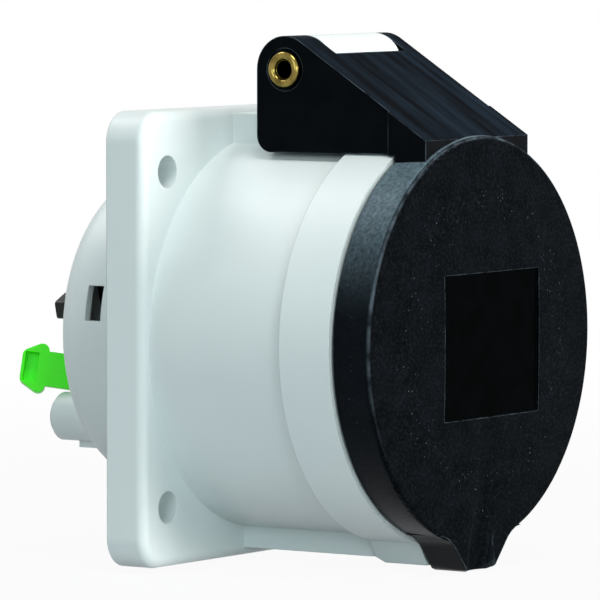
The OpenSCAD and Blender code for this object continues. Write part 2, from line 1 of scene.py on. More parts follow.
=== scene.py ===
"""Dresses the flanged panel socket: a finish for every moulded, turned and bent piece,
rounded edges on the small levers, and a lid spring of wound wire."""

import logging
import math
from dataclasses import dataclass, field
from enum import Enum

import bmesh
import bpy
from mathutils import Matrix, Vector

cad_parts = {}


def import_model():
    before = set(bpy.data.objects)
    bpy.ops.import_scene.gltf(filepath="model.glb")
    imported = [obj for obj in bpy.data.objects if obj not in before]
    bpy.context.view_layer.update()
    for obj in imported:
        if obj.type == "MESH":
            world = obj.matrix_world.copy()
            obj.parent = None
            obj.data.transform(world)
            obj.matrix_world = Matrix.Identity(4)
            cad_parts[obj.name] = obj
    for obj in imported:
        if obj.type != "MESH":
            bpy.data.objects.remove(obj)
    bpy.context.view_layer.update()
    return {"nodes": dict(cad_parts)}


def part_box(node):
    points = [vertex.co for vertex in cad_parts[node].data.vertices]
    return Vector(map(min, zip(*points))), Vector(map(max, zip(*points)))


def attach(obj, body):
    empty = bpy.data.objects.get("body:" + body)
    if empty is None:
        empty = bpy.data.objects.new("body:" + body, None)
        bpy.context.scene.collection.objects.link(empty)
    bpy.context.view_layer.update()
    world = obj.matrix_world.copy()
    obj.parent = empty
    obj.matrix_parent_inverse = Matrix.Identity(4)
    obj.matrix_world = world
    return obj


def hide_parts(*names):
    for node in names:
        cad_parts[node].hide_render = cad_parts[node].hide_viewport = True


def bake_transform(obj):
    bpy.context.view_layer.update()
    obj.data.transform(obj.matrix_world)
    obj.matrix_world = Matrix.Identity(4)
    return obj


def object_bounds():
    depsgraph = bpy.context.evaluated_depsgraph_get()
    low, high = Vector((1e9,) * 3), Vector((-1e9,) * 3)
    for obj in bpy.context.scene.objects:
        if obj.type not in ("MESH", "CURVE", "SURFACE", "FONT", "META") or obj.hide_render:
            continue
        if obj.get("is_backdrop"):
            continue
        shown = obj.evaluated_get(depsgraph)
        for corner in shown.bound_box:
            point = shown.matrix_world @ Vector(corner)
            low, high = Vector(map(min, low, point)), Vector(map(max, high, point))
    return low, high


log = logging.getLogger("panel_socket")

Colour = tuple[float, float, float, float]

MM = 0.001
# corners of a solid that lie closer than this are one corner
WELD = 0.002 * MM
# faces that meet at a larger angle than this keep their edge
SHARP = math.radians(32.0)


# ------------------------------------------------------------------ node helpers


def linear(code: str) -> Colour:
    """Turns an sRGB hex colour into linear light.

    Args:
        code: Six hex digits.

    Returns:
        Red, green, blue and an alpha of 1.
    """
    light = []
    for k in (0, 2, 4):
        v = int(code[k : k + 2], 16) / 255
        light.append(v / 12.92 if v <= 0.04045 else ((v + 0.055) / 1.055) ** 2.4)
    return (light[0], light[1], light[2], 1.0)


def grey(v: float) -> Colour:
    """A neutral value as a colour."""
    return (v, v, v, 1.0)


def add_node(
    tree: bpy.types.NodeTree,
    kind: str,
    settings: dict[str, object] | None = None,
    sockets: dict[str | int, object] | None = None,
) -> bpy.types.Node:
    """Adds a node with its settings, input values and links.

    Args:
        tree: The tree that gets the node.
        kind: The node's type name.
        settings: Properties to set on the node.
        sockets: Input name or index to a value, or to an output socket to link.

    Returns:
        The new node.
    """
    node = tree.nodes.new(kind)
    for name, value in (settings or {}).items():
        setattr(node, name, value)
    for name, value in (sockets or {}).items():
        if isinstance(value, bpy.types.NodeSocket):
            tree.links.new(value, node.inputs[name])
        else:
            node.inputs[name].default_value = value
    return node


def calc(
    tree: bpy.types.NodeTree, operation: str, a: object, b: object
) -> bpy.types.NodeSocket:
    """Joins two numbers or sockets by an operation such as MULTIPLY."""
    return add_node(tree, "ShaderNodeMath", {"operation": operation}, {0: a, 1: b}).outputs[0]


def span(
    tree: bpy.types.NodeTree,
    value: bpy.types.NodeSocket,
    start: float,
    end: float,
    to: tuple[float, float] = (0.0, 1.0),
    curve: str = "LINEAR",
) -> bpy.types.NodeSocket:
    """Maps a stretch of a value onto another one and holds it at both ends.

    Args:
        tree: The tree that gets the node.
        value: The value to map.
        start: Where the stretch starts; it may lie above its end.
        end: Where the stretch ends.
        to: The results at the start and at the end.
        curve: LINEAR, or SMOOTHSTEP for soft ends.

    Returns:
        The mapped value.
    """
    sockets = {
        "Value": value,
        "From Min": start,
        "From Max": end,
        "To Min": to[0],
        "To Max": to[1],
    }
    return add_node(
        tree, "ShaderNodeMapRange", {"interpolation_type": curve}, sockets
    ).outputs[0]


def noise(
    tree: bpy.types.NodeTree,
    place: bpy.types.NodeSocket,
    size_mm: float,
    detail: float,
    more: dict[str, float] | None = None,
) -> bpy.types.NodeSocket:
    """Adds soft noise.

    Args:
        tree: The tree that gets it.
        place: The point.
        size_mm: About how wide its lumps are.
        detail: How many finer layers it has.
        more: Values of its other inputs.

    Returns:
        The noise, from 0 to 1.
    """
    sockets = {"Vector": place, "Scale": 1.0 / (size_mm * MM), "Detail": detail}
    node = add_node(tree, "ShaderNodeTexNoise", sockets=sockets | (more or {}))
    return node.outputs["Fac"]


def ramp(
    tree: bpy.types.NodeTree,
    fac: bpy.types.NodeSocket,
    stops: list[tuple[float, Colour]],
) -> bpy.types.NodeSocket:
    """Adds a colour ramp.

    Args:
        tree: The tree that gets the ramp.
        fac: The value that runs along it.
        stops: Position and colour of each stop, in order.

    Returns:
        The ramp's colour output.
    """
    node = add_node(tree, "ShaderNodeValToRGB", sockets={"Fac": fac})
    elements = node.color_ramp.elements
    while len(elements) < len(stops):
        elements.new(0.5)
    for element, (position, colour) in zip(elements, stops):
        element.position = position
        element.color = colour
    return node.outputs["Color"]


def over(
    tree: bpy.types.NodeTree,
    amount: bpy.types.NodeSocket,
    base: bpy.types.NodeSocket,
    code: str,
) -> bpy.types.NodeSocket:
    """Lays a colour over another one.

    Args:
        tree: The tree that gets the node.
        amount: How much of the colour shows, from 0 to 1.
        base: The colour below it.
        code: The colour on top, in hex.

    Returns:
        The mixed colour.
    """
    sockets = {0: amount, 6: base, 7: linear(code)}
    return add_node(tree, "ShaderNodeMix", {"data_type": "RGBA"}, sockets).outputs[2]


def object_place(tree: bpy.types.NodeTree) -> bpy.types.NodeSocket:
    """Adds the point on the piece, which moves with it."""
    return add_node(tree, "ShaderNodeTexCoord").outputs["Object"]


def facing(tree: bpy.types.NodeTree) -> bpy.types.bpy_prop_collection:
    """Adds the piece's own X, Y and Z of where its surface faces."""
    normal = add_node(tree, "ShaderNodeTexCoord").outputs["Normal"]
    return add_node(tree, "ShaderNodeSeparateXYZ", sockets={0: normal}).outputs


def softened(
    tree: bpy.types.NodeTree, radius_mm: float, samples: int = 6
) -> bpy.types.NodeSocket:
    """Adds the surface's direction with its edges rounded to a radius."""
    radius = {"Radius": radius_mm * MM}
    return add_node(tree, "ShaderNodeBevel", {"samples": samples}, radius).outputs[0]


def relief(
    tree: bpy.types.NodeTree,
    height: bpy.types.NodeSocket,
    depth_mm: float,
    strength: float,
    under: bpy.types.NodeSocket,
) -> bpy.types.NodeSocket:
    """Adds a shallow relief to a surface.

    Args:
        tree: The tree that gets the node.
        height: The relief, from 0 to 1.
        depth_mm: How deep it is.
        strength: How much of it shows.
        under: The surface's direction without it.

    Returns:
        The surface's direction with the relief.
    """
    sockets = {
        "Height": height,
        "Distance": depth_mm * MM,
        "Strength": strength,
        "Normal": under,
    }
    return add_node(tree, "ShaderNodeBump", sockets=sockets).outputs[0]


def blank_material(name: str) -> tuple[bpy.types.Material, bpy.types.NodeTree]:
    """Makes a material with an empty node tree.

    Args:
        name: The material's name.

    Returns:
        The material and its tree.
    """
    mat = bpy.data.materials.new(name)
    mat.use_nodes = True
    mat.node_tree.nodes.clear()
    return mat, mat.node_tree


def surfaced(mat: bpy.types.Material, sockets: dict[str, object]) -> bpy.types.Material:
    """Ends a material with its one shader.

    Args:
        mat: The material.
        sockets: The shader's inputs.

    Returns:
        The same material.
    """
    shader = add_node(mat.node_tree, "ShaderNodeBsdfPrincipled", sockets=sockets)
    surface = {"Surface": shader.outputs[0]}
    add_node(mat.node_tree, "ShaderNodeOutputMaterial", sockets=surface)
    return mat


# ------------------------------------------------------------------ finishes


@dataclass(frozen=True)
class MouldedPlastic:
    """Injection-moulded polyamide or rubber. The mould leaves a fine texture, cloudy flow
    that barely shows, and edges with a small radius."""

    name: str
    colour: str
    shade: str
    roughness: float
    rough_swing: float = 0.06
    flow_mm: float = 22.22
    grain_mm: float = 0.35
    grain_depth_mm: float = 0.01
    edge_mm: float = 0.3
    specular: float = 0.5

    def material(self) -> bpy.types.Material:
        """Builds the material.

        Returns:
            The finished material.
        """
        mat, tree = blank_material(self.name)
        place = object_place(tree)
        flow = noise(tree, place, self.flow_mm, 2.0)
        base = ramp(tree, flow, [(0.3, linear(self.shade)), (0.7, linear(self.colour))])
        grain = noise(tree, place, self.grain_mm, 3.0, {"Roughness": 0.6})
        swing = (self.roughness - self.rough_swing, self.roughness + self.rough_swing)
        edge = softened(tree, self.edge_mm)
        sockets = {
            "Base Color": base,
            "Roughness": span(tree, grain, 0.0, 1.0, swing),
            "Normal": relief(tree, grain, self.grain_depth_mm, 0.8, edge),
            "IOR": 1.5,
            "Specular IOR Level": self.specular,
        }
        return surfaced(mat, sockets)


@dataclass(frozen=True)
class BlackMoulding:
    """Black glass-filled polyamide of the lid. Spark erosion leaves the face matt, and its
    pin-point glints are painted; a drawn mould leaves long streaks where the glass flowed;
    and a polished one leaves the label recess plain and dark. Its edges get light lines,
    partly rubbed and partly a painted highlight, and a painted sheen can lie on what faces
    up.

    Attributes:
        name: The material's name.
        colour: The black itself.
        cloud: The black of patches that hands have touched.
        rough: Least and most roughness.
        ior: Below a clean polyamide's 1.5, because a pitted skin returns less light.
        pits: How strongly the spark texture shows.
        streak: Colour of flow streaks, or none.
        painted_glint: Colour of its painted glints, or none.
        painted_sheen: Colour of a painted sheen on what faces up, or none.
        rim: Whether it has a painted highlight along the upper part of the lid's round rim.
        edge_wear_and_highlight: Colour of the light lines along its edges, partly rubbed and
            partly a painted highlight.
        tint: Colour of its reflections.
        edge_mm: Radius of its edges.
    """

    name: str
    colour: str
    cloud: str
    rough: tuple[float, float]
    ior: float
    pits: float = 1.0
    streak: str = ""
    # colour of the painted glints
    painted_glint: str = ""
    # colour of the painted sheen on what faces up
    painted_sheen: str = ""
    # whether the rim gets its painted highlight
    rim: bool = False
    # light lines along every edge: partly rubbed, partly a painted highlight
    edge_wear_and_highlight: str = "5F6C76"
    tint: str = "B2D2EA"
    edge_mm: float = 0.4

    def material(self) -> bpy.types.Material:
        """Builds the material.

        Returns:
            The finished material.
        """
        mat, tree = blank_material(self.name)
        place = object_place(tree)
        # a faint bloom in patches half a centimetre wide
        cloud = noise(tree, place, 5.0, 4.0)
        base = ramp(tree, cloud, [(0.35, linear(self.colour)), (0.7, linear(self.cloud))])
        if self.streak:
            base = self.streaks(tree, place, base)
        # painted glints, with a faint painted shade between them
        if self.painted_glint:
            base = self.painted_glints(tree, place, base)
        # a painted sheen on what faces up
        if self.painted_sheen:
            base = self.painted_top_sheen(tree, place, base)
        edge = softened(tree, self.edge_mm, samples=8)
        # spark texture, with its pits 0.4 mm apart
        grain = noise(tree, place, 0.4, 3.0)
        # the base colour gets light lines along the edges: partly rubbed, partly a painted
        # highlight
        sockets = {
            "Base Color": self.worn_and_highlit_edges(tree, place, base, edge),
            "Roughness": span(tree, grain, 0.0, 1.0, self.rough),
            "Normal": relief(tree, grain, 0.035, self.pits, edge),
            "IOR": self.ior,
            "Specular Tint": linear(self.tint),
        }
        return surfaced(mat, sockets)

    def streaks(
        self,
        tree: bpy.types.NodeTree,
        place: bpy.types.NodeSocket,
        base: bpy.types.NodeSocket,
    ) -> bpy.types.NodeSocket:
        """Adds long streaks down the slope of the hinge arm.

        Args:
            tree: The tree that gets them.
            place: The point.
            base: The colour below them.

        Returns:
            The colour with its streaks.
        """
        # turned to run down the slope, a few millimetres wide and 16 times as long
        fall = (math.radians(35), 0, 0)
        along = add_node(
            tree,
            "ShaderNodeMapping",
            {"vector_type": "TEXTURE"},
            {"Vector": place, "Rotation": fall, "Scale": (1, 16, 4)},
        ).outputs[0]
        flow = noise(tree, along, 2.6, 6.0, {"Roughness": 0.62, "Distortion": 0.3})
        lit = ramp(tree, flow, [(0.4, grey(0.0)), (0.74, grey(1.0))])
        return over(tree, lit, base, self.streak)

    def painted_glints(
        self,
        tree: bpy.types.NodeTree,
        place: bpy.types.NodeSocket,
        base: bpy.types.NodeSocket,
    ) -> bpy.types.NodeSocket:
        """Adds painted pin-point glints to the spark texture, with a faint painted shade
        between them.

        Args:
            tree: The tree that gets them.
            place: The point.
            base: The colour below them.

        Returns:
            The colour with its glints.
        """
        # a glint is a few hundredths of a millimetre, drawn larger so that it shows
        cells = add_node(
            tree,
            "ShaderNodeTexVoronoi",
            {"feature": "F1"},
            {"Vector": place, "Scale": 1.0 / (0.9 * MM), "Randomness": 1.0},
        ).outputs
        fade = [(0.0, grey(1.0)), (0.1, grey(0.6)), (0.19, grey(0.0))]
        spot = ramp(tree, cells["Distance"], fade)
        # one cell in three has a glint, and few of those are bright
        shine = ramp(tree, cells["Color"], [(0.68, grey(0.0)), (1.0, grey(1.0))])
        glint = calc(tree, "MULTIPLY", spot, shine)
        # between the glints, a faint painted shade: the pits' lips a little lighter than
        # their floors
        lips = noise(tree, place, 0.55, 2.0)
        lips = ramp(tree, lips, [(0.45, grey(0.0)), (0.75, grey(0.03))])
        return over(tree, calc(tree, "MAXIMUM", glint, lips), base, self.painted_glint)

    def painted_top_sheen(
        self,
        tree: bpy.types.NodeTree,
        place: bpy.types.NodeSocket,
        base: bpy.types.NodeSocket,
    ) -> bpy.types.NodeSocket:
        """Lays a painted blue-grey sheen on what faces up while the lid is shut, broken into
        grains.

        Args:
            tree: The tree that gets it.
            place: The point.
            base: The colour below it.

        Returns:
            The colour with its painted sheen.
        """
        facing_up = span(tree, facing(tree)["Z"], 0.15, 0.85, curve="SMOOTHSTEP")
        # the painted sheen is broken into grains that lie 0.7 mm apart
        grains = noise(tree, place, 0.7, 4.0)
        grains = ramp(tree, grains, [(0.3, grey(0.35)), (0.7, grey(0.95))])
        return over(tree, calc(tree, "MULTIPLY", facing_up, grains), base, self.painted_sheen)

    def worn_and_highlit_edges(
        self,
        tree: bpy.types.NodeTree,
        place: bpy.types.NodeSocket,
        base: bpy.types.NodeSocket,
        edge: bpy.types.NodeSocket,
    ) -> bpy.types.NodeSocket:
        """Adds thin light lines along the edges, partly rubbed by handling and partly a
        painted highlight.

        Args:
            tree: The tree that gets them.
            place: The point.
            base: The colour below them.
            edge: The surface's direction with rounded edges, which turns away from the
                plain one there.

        Returns:
            The colour with its light lines.
        """
        plain = add_node(tree, "ShaderNodeNewGeometry").outputs["Normal"]
        turned = add_node(
            tree, "ShaderNodeVectorMath", {"operation": "DOT_PRODUCT"}, {0: edge, 1: plain}
        ).outputs["Value"]
        line = span(tree, turned, 0.97, 0.84)
        # a painted highlight along the upper part of the rim's round
        if self.rim:
            line = calc(tree, "MAXIMUM", line, self.rim_highlight(tree))
        # the lines come and go in stretches of a few millimetres
        patches = noise(tree, place, 3.5, 5.0)
        patches = ramp(tree, patches, [(0.38, grey(0.1)), (0.64, grey(0.9))])
        return over(tree, calc(tree, "MULTIPLY", line, patches), base, self.edge_wear_and_highlight)

    def rim_highlight(self, tree: bpy.types.NodeTree) -> bpy.types.NodeSocket:
        """Finds the painted highlight on the round of the lid's rim, between its side and its
        face.

        Args:
            tree: The tree that gets the nodes.

        Returns:
            1 in the middle of the round's upper part, falling to 0 on both sides.
        """
        towards = facing(tree)
        front = calc(tree, "POWER", towards["Y"], 2.0)
        side = calc(tree, "SUBTRACT", 1.0, front)
        # the product is a quarter where the round faces halfway between side and face
        middle = span(tree, calc(tree, "MULTIPLY", front, side), 0.1, 0.24)
        # the painted highlight stays on the upper part, where the light falls
        upper = span(tree, towards["Z"], -0.3, 0.1)
        return calc(tree, "MULTIPLY", middle, upper)


@dataclass(frozen=True)
class WorkedMetal:
    """Brass or steel that was drawn, turned or rolled. Fine lines follow the working
    direction, and tarnish darkens it in patches."""

    name: str
    colour: str
    shade: str
    roughness: float
    line_mm: float = 0.12
    line_depth_mm: float = 0.004
    tarnish_mm: float = 2.5
    edge_mm: float = 0.12
    stretch: tuple[float, float, float] = (1.0, 1.0, 1.0)

    def material(self) -> bpy.types.Material:
        """Builds the material.

        Returns:
            The finished material.
        """
        mat, tree = blank_material(self.name)
        place = object_place(tree)
        drawn = add_node(
            tree, "ShaderNodeMapping", sockets={"Vector": place, "Scale": self.stretch}
        ).outputs[0]
        lines = noise(tree, drawn, self.line_mm, 2.0)
        tarnish = noise(tree, place, self.tarnish_mm, 3.0)
        stops = [(0.3, linear(self.shade)), (0.65, linear(self.colour))]
        swing = (self.roughness - 0.05, self.roughness + 0.08)
        edge = softened(tree, self.edge_mm)
        sockets = {
            "Base Color": ramp(tree, tarnish, stops),
            "Metallic": 1.0,
            "Roughness": span(tree, tarnish, 0.0, 1.0, swing),
            "Normal": relief(tree, lines, self.line_depth_mm, 0.6, edge),
        }
        return surfaced(mat, sockets)


class Finish(Enum):
    """The finishes of this socket, by the piece that wears them."""

    # light grey polyamide: satin, so its lights are broad and soft-edged
    HOUSING = MouldedPlastic(
        name="housing_polyamide_light_grey",
        colour="DDE6E5",
        shade="D9E3E3",
        roughness=0.45,
        grain_mm=0.5,
        grain_depth_mm=0.006,
        edge_mm=0.35,
    )
    # eroded mould: matt black with painted pin-point glints and a painted highlight along its
    # rim
    LID_FACE = BlackMoulding(
        name="lid_polyamide_black_eroded",
        colour="050709",
        cloud="0A0D10",
        rough=(0.36, 0.58),
        ior=1.04,
        painted_glint="68737C",
        rim=True,
        edge_wear_and_highlight="4C575F",
    )
    # the same mould with finer pits: a dull sheen, painted glints, and a painted blue-grey
    # sheen where it faces up
    LID_SIDE = BlackMoulding(
        name="lid_polyamide_black_textured",
        colour="05070A",
        cloud="0A0E12",
        rough=(0.24, 0.38),
        ior=1.14,
        painted_glint="4C565E",
        painted_sheen="687D87",
        rim=True,
        edge_wear_and_highlight="6E7C86",
    )
    # glass drawn along the flow: blue-grey streaks down a nearly sheenless black
    LID_SLOPE = BlackMoulding(
        name="lid_polyamide_black_streaked",
        colour="05070A",
        cloud="090D11",
        rough=(0.3, 0.45),
        ior=1.024,
        pits=0.25,
        streak="1A2530",
    )
    # mould drawn straight off: an even black that is hardly warmer
    LID_ARM = BlackMoulding(
        name="lid_polyamide_black_drawn",
        colour="07090B",
        cloud="0B0D10",
        rough=(0.28, 0.42),
        ior=1.08,
        pits=0.25,
    )
    # polished pocket for a label: the darkest black, without grain, with dim light lines on
    # its edges, partly a painted highlight
    LID_RECESS = BlackMoulding(
        name="lid_polyamide_black_polished",
        colour="020303",
        cloud="030405",
        rough=(0.2, 0.24),
        ior=1.03,
        pits=0.05,
        edge_wear_and_highlight="20272C",
        edge_mm=0.15,
    )
    # unpolished black polyamide: charcoal with a weak sheen
    INSERT = MouldedPlastic(
        name="insert_polyamide_black",
        colour="141517",
        shade="101113",
        roughness=0.38,
        specular=0.2,
        grain_mm=0.5,
        grain_depth_mm=0.006,
    )
    # through-dyed polyamide: a loud green with soft whitish lights
    GREEN_LEVER = MouldedPlastic(
        name="lever_polyamide_green",
        colour="48FF06",
        shade="3EF404",
        roughness=0.4,
        specular=0.3,
        grain_mm=0.6,
        grain_depth_mm=0.004,
        edge_mm=0.15,
    )
    # the same moulding in black: a little shinier than the insert
    BLACK_LEVER = MouldedPlastic(
        name="lever_polyamide_black",
        colour="141516",
        shade="101112",
        roughness=0.32,
        specular=0.2,
        grain_mm=0.6,
        grain_depth_mm=0.004,
        edge_mm=0.15,
    )
    # moulded rubber: flat dark grey, no highlight
    RUBBER = MouldedPlastic(
        name="seal_rubber_black",
        colour="1A1A1A",
        shade="151515",
        roughness=0.75,
        grain_mm=0.4,
        grain_depth_mm=0.01,
        edge_mm=0.2,
    )
    # rolled brass tube, tarnished: deep yellow with small bright lights
    PIN_BRASS = WorkedMetal(
        name="pin_brass_rolled",
        colour="8E7D42",
        shade="4E421D",
        roughness=0.15,
        stretch=(0.2, 1.0, 1.0),
    )
    # freshly turned brass: pale and warm, brushed round its axis
    CONTACT_BRASS = WorkedMetal(
        name="contact_brass_turned",
        colour="D9B878",
        shade="CBA766",
        roughness=0.3,
        stretch=(1.0, 0.15, 1.0),
    )
    # bright drawn steel: a cool near-white glint along the wire
    STEEL = WorkedMetal(
        name="spring_steel_bright",
        colour="C9CBCE",
        shade="B4B7BB",
        roughness=0.28,
        stretch=(1.0, 1.0, 0.2),
    )


class Paintbox:
    """Makes each finish once and hands it out."""

    def __init__(self) -> None:
        """Starts with no material made."""
        self.made: dict[Finish, bpy.types.Material] = {}

    def get(self, finish: Finish) -> bpy.types.Material:
        """Returns the material of a finish, made on first use."""
        if finish not in self.made:
            self.made[finish] = finish.value.material()
        return self.made[finish]

    def dress(self, obj: bpy.types.Object, finish: Finish) -> None:
        """Puts one finish on the whole of an object.

        Args:
            obj: The object to dress.
            finish: The finish that it gets.
        """
        mat = self.get(finish)
        if not obj.material_slots:
            obj.data.materials.append(mat)
        for slot in obj.material_slots:
            slot.material = mat


# ------------------------------------------------------------------ mesh helpers


def new_piece(name: str, mesh: bpy.types.Mesh) -> bpy.types.Object:
    """Links a mesh to the scene as a piece at the origin."""
    obj = bpy.data.objects.new(name, mesh)
    bpy.context.scene.collection.objects.link(obj)
    return obj


def baked(obj: bpy.types.Object) -> bpy.types.Object:
    """Applies an object's modifiers and leaves it with a plain mesh.

    Args:
        obj: The object whose modifiers are applied.

    Returns:
        The same object.
    """
    bpy.context.view_layer.update()
    graph = bpy.context.evaluated_depsgraph_get()
    mesh = bpy.data.meshes.new_from_object(obj.evaluated_get(graph))
    mats = [s.material for s in obj.material_slots]
    obj.modifiers.clear()
    obj.data = mesh
    if not mesh.materials:
        for m in mats:
            mesh.materials.append(m)
    return obj


@dataclass
class SoftenedSolid:
    """A welded copy of one of the frame's solids, with its edges rounded as the mould
    leaves them."""

    node: str
    edge_mm: float
    segments: int = 3
    flat_deg: float = 0.4

    def build(self) -> bpy.types.Object:
        """Builds the copy.

        Returns:
            The new piece, not yet dressed.
        """
        mesh = bpy.data.objects[self.node].data.copy()
        work = bmesh.new()
        work.from_mesh(mesh)
        bmesh.ops.remove_doubles(work, verts=work.verts, dist=WELD)
        bmesh.ops.dissolve_limit(
            work,
            angle_limit=math.radians(self.flat_deg),
            verts=work.verts,
            edges=work.edges,
        )
        for edge in work.edges:
            edge.smooth = edge.calc_face_angle(math.pi) < SHARP
        for face in work.faces:
            face.smooth = True
        work.to_mesh(mesh)
        work.free()
        mesh.materials.clear()
        piece = new_piece(self.node + "_moulded", mesh)
        bevel = piece.modifiers.new("edge", "BEVEL")
        bevel.width = self.edge_mm * MM
        bevel.segments = self.segments
        bevel.limit_method = "ANGLE"
        bevel.angle_limit = SHARP
        bevel.harden_normals = True
        bevel.use_clamp_overlap = True
        return baked(piece)


def wire_tree(name: str) -> bpy.types.NodeTree:
    """Builds a tree that turns a line of points into round wire.

    Args:
        name: The tree's name.

    Returns:
        A geometry tree with the inputs Radius, Sides, Step and Material.
    """
    tree = bpy.data.node_groups.new(name, "GeometryNodeTree")
    face = tree.interface
    face.new_socket("Geometry", in_out="INPUT", socket_type="NodeSocketGeometry")
    face.new_socket("Radius", in_out="INPUT", socket_type="NodeSocketFloat")
    face.new_socket("Sides", in_out="INPUT", socket_type="NodeSocketInt")
    face.new_socket("Step", in_out="INPUT", socket_type="NodeSocketFloat")
    face.new_socket("Material", in_out="INPUT", socket_type="NodeSocketMaterial")
    face.new_socket("Geometry", in_out="OUTPUT", socket_type="NodeSocketGeometry")
    start = add_node(tree, "NodeGroupInput")
    curve = add_node(
        tree, "GeometryNodeMeshToCurve", sockets={"Mesh": start.outputs["Geometry"]}
    )
    even = add_node(
        tree,
        "GeometryNodeResampleCurve",
        {"mode": "LENGTH"},
        {"Curve": curve.outputs[0], "Length": start.outputs["Step"]},
    )
    section = add_node(
        tree,
        "GeometryNodeCurvePrimitiveCircle",
        {"mode": "RADIUS"},
        {"Resolution": start.outputs["Sides"], "Radius": start.outputs["Radius"]},
    )
    body = add_node(
        tree,
        "GeometryNodeCurveToMesh",
        sockets={
            "Curve": even.outputs[0],
            "Profile Curve": section.outputs[0],
            "Fill Caps": True,
        },
    )
    smooth = add_node(
        tree, "GeometryNodeSetShadeSmooth", sockets={"Geometry": body.outputs[0]}
    )
    real = add_node(
        tree, "GeometryNodeRealizeInstances", sockets={"Geometry": smooth.outputs[0]}
    )
    dressed = add_node(
        tree,
        "GeometryNodeSetMaterial",
        sockets={"Geometry": real.outputs[0], "Material": start.outputs["Material"]},
    )
    add_node(tree, "NodeGroupOutput", sockets={"Geometry": dressed.outputs[0]})
    return tree


def run_tree(
    obj: bpy.types.Object, tree: bpy.types.NodeTree, inputs: dict[str, object]
) -> bpy.types.Object:
    """Runs a geometry tree on an object and keeps the result as its mesh.

    Args:
        obj: The object that carries the starting points.
        tree: The tree to run.
        inputs: Value of each named input.

    Returns:
        The same object with a plain mesh.
    """
    modifier = obj.modifiers.new("make", "NODES")
    modifier.node_group = tree
    for item in tree.interface.items_tree:
        if item.in_out == "INPUT" and item.name in inputs:
            modifier[item.identifier] = inputs[item.name]
    return baked(obj)


def line_mesh(name: str, points: list[Vector]) -> bpy.types.Mesh:
    """Makes a mesh of one open line through the points."""
    mesh = bpy.data.meshes.new(name)
    edges = [(k, k + 1) for k in range(len(points) - 1)]
    mesh.from_pydata([tuple(p) for p in points], edges, [])
    return mesh


# ------------------------------------------------------------------ sub-assemblies


@dataclass
class Hinge:
    """Hinge of the lid: the spring wound round the pin, with one leg on the housing and one
    that runs out to the lid."""

    paint: Paintbox
    coil_r: float = 3.9 * MM
    wire_r: float = 0.5 * MM
    turns: int = 7
    points_per_turn: int = 28
    leg_points: int = 8
    tip_drop: float = 1.35 * MM
    sides: int = 14
    step: float = 0.55 * MM
    bend: float = 3 * MM

    def axis(self) -> Vector:
        """Returns the middle of the hinge pin."""
        low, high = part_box("hinge_pin")
        return (low + high) / 2

    def spring_line(self) -> list[Vector]:
        """Works out the line of the wire: fixed leg, turns, and the lid's leg.

        Returns:
            The points of the wire's middle line.
        """
        low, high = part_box("lid_spring")
        mid = self.axis()
        x0 = low.x + self.wire_r
        x1 = high.x - self.wire_r
        points = [Vector((x0, mid.y + self.coil_r, low.z + self.wire_r))]
        # the last turn stops three quarters round, where the lid's leg leaves it
        total = self.turns * self.points_per_turn + self.points_per_turn // 4 * 3
        for k in range(total + 1):
            turn = 2 * math.pi * k / self.points_per_turn
            x = x0 + (x1 - x0) * k / total
            y = mid.y + self.coil_r * math.cos(turn)
            z = mid.z + self.coil_r * math.sin(turn)
            points.append(Vector((x, y, z)))
        tip_y = low.y + self.wire_r
        fall = self.tip_drop / abs(tip_y - mid.y)
        for k in range(1, self.leg_points + 1):
            y = mid.y + (tip_y - mid.y) * k / self.leg_points
            points.append(Vector((x1, y, mid.z - self.coil_r - fall * abs(y - mid.y))))
        return points

    def build(self) -> None:
        """Builds the spring in place of the frame's spring."""
        line = new_piece("lid_spring_wire", line_mesh("lid_spring_wire", self.spring_line()))
        inputs = {
            "Radius": self.wire_r,
            "Sides": self.sides,
            "Step": self.step,
            "Material": self.paint.get(Finish.STEEL),
        }
        wire = run_tree(line, wire_tree("wound_wire"), inputs)
        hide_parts("lid_spring")
        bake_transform(wire)
        log.info("hinge: spring of %d turns", self.turns)


@dataclass
class TerminalLevers:
    """The four levers behind the flange, with the rounded edges of small mouldings."""

    paint: Paintbox
    edge_mm: float = 0.32
    bodies: dict[str, str] = field(
        default_factory=lambda: {
            "lever_1": "phase_lever_1",
            "lever_2": "phase_lever_2",
            "lever_3": "phase_lever_3",
            "earth_lever": "green_lever",
        }
    )

    def build(self) -> None:
        """Builds each lever and rides it on its own body."""
        for node, body in self.bodies.items():
            green = body == "green_lever"
            piece = SoftenedSolid(node, self.edge_mm).build()
            self.paint.dress(piece, Finish.GREEN_LEVER if green else Finish.BLACK_LEVER)
            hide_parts(node)
            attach(piece, body)
            log.info("lever: %s", node)


